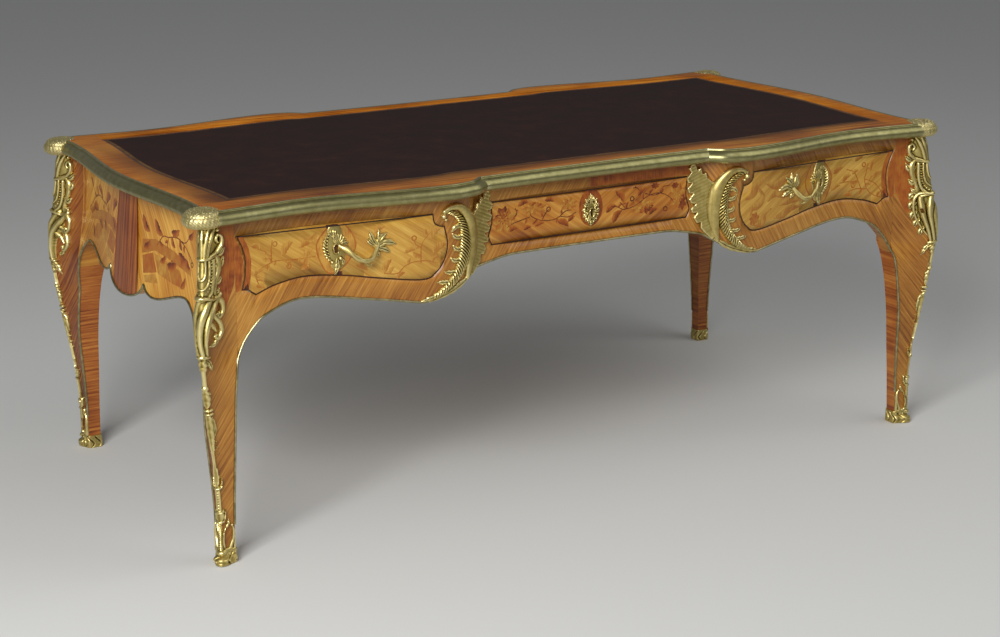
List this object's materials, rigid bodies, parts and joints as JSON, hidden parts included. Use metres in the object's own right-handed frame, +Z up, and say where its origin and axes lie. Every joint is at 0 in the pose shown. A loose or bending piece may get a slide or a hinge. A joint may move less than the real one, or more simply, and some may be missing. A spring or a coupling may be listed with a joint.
{
  "type": "bureau plat",
  "caption": "Serpentine writing table with a leather top, marquetried frieze drawers, cabriole legs and gilt brass leaf mounts.",
  "frame": {"origin": "on the floor under the middle of the table", "axes": "+X along the length, +Z up; the drawers face -Y"},
  "size_m": [1.982, 1.0618, 0.795],
  "materials": {
    "tulipwood_veneer": "polished, banded and cross-laid tulipwood veneer",
    "marquetry": "polished floral marquetry",
    "oak": "plain, unpolished",
    "dark_leather": "dark red-brown, tooled border, worn sheen",
    "gilt_brass": "cast, chased and gilt, burnished high points",
    "lock_steel": "filed steel"
  },
  "bodies": {
    "carcass": {"top_panel": "tulipwood_veneer", "front_frieze": "tulipwood_veneer", "back_frieze": "tulipwood_veneer", "end_apron_left": "tulipwood_veneer", "end_apron_right": "tulipwood_veneer", "leather_panel": "dark_leather", "edge_front_left": "gilt_brass", "edge_front_centre": "gilt_brass", "edge_front_right": "gilt_brass", "edge_back_left": "gilt_brass", "edge_back_centre": "gilt_brass", "edge_back_right": "gilt_brass", "edge_end_left": "gilt_brass", "edge_end_right": "gilt_brass", "corner_shell_front_left": "gilt_brass", "chute_front_left": "gilt_brass", "sabot_front_left": "gilt_brass", "acanthus_front_left": "gilt_brass", "leg_front_left": "tulipwood_veneer", "corner_shell_front_right": "gilt_brass", "chute_front_right": "gilt_brass", "sabot_front_right": "gilt_brass", "acanthus_front_right": "gilt_brass", "leg_front_right": "tulipwood_veneer", "corner_shell_back_left": "gilt_brass", "chute_back_left": "gilt_brass", "sabot_back_left": "gilt_brass", "acanthus_back_left": "gilt_brass", "leg_back_left": "tulipwood_veneer", "corner_shell_back_right": "gilt_brass", "chute_back_right": "gilt_brass", "sabot_back_right": "gilt_brass", "acanthus_back_right": "gilt_brass", "leg_back_right": "tulipwood_veneer", "partition_left": "oak", "partition_right": "oak", "runner_left": "oak", "runner_right": "oak", "sham_pull_left": "gilt_brass", "sham_pull_right": "gilt_brass", "sham_escutcheon": "gilt_brass"},
    "drawer_left": {"drawer_front_left": "marquetry", "drawer_box_left": "oak", "drawer_bottom_left": "oak", "pull_left": "gilt_brass", "lock_case_left": "lock_steel"},
    "bolt_left": {"lock_bolt_left": "lock_steel"},
    "drawer_centre": {"drawer_front_centre": "marquetry", "drawer_box_centre": "oak", "drawer_bottom_centre": "oak", "escutcheon_centre": "gilt_brass", "lock_case_centre": "lock_steel"},
    "bolt_centre": {"lock_bolt_centre": "lock_steel"},
    "drawer_right": {"drawer_front_right": "marquetry", "drawer_box_right": "oak", "drawer_bottom_right": "oak", "pull_right": "gilt_brass", "lock_case_right": "lock_steel"},
    "bolt_right": {"lock_bolt_right": "lock_steel"}
  },
  "joints": [
    {"name": "drawer_left_slide", "type": "slide", "parent": "carcass", "child": "drawer_left", "axis": [0, -1, 0], "range_m": [0, 0.4]},
    {"name": "bolt_left_throw", "type": "slide", "parent": "drawer_left", "child": "bolt_left", "axis": [0, 0, 1], "range_m": [0, 0.0075]},
    {"name": "drawer_centre_slide", "type": "slide", "parent": "carcass", "child": "drawer_centre", "axis": [0, -1, 0], "range_m": [0, 0.4]},
    {"name": "bolt_centre_throw", "type": "slide", "parent": "drawer_centre", "child": "bolt_centre", "axis": [0, 0, 1], "range_m": [0, 0.0075]},
    {"name": "drawer_right_slide", "type": "slide", "parent": "carcass", "child": "drawer_right", "axis": [0, -1, 0], "range_m": [0, 0.4]},
    {"name": "bolt_right_throw", "type": "slide", "parent": "drawer_right", "child": "bolt_right", "axis": [0, 0, 1], "range_m": [0, 0.0075]}
  ]
}
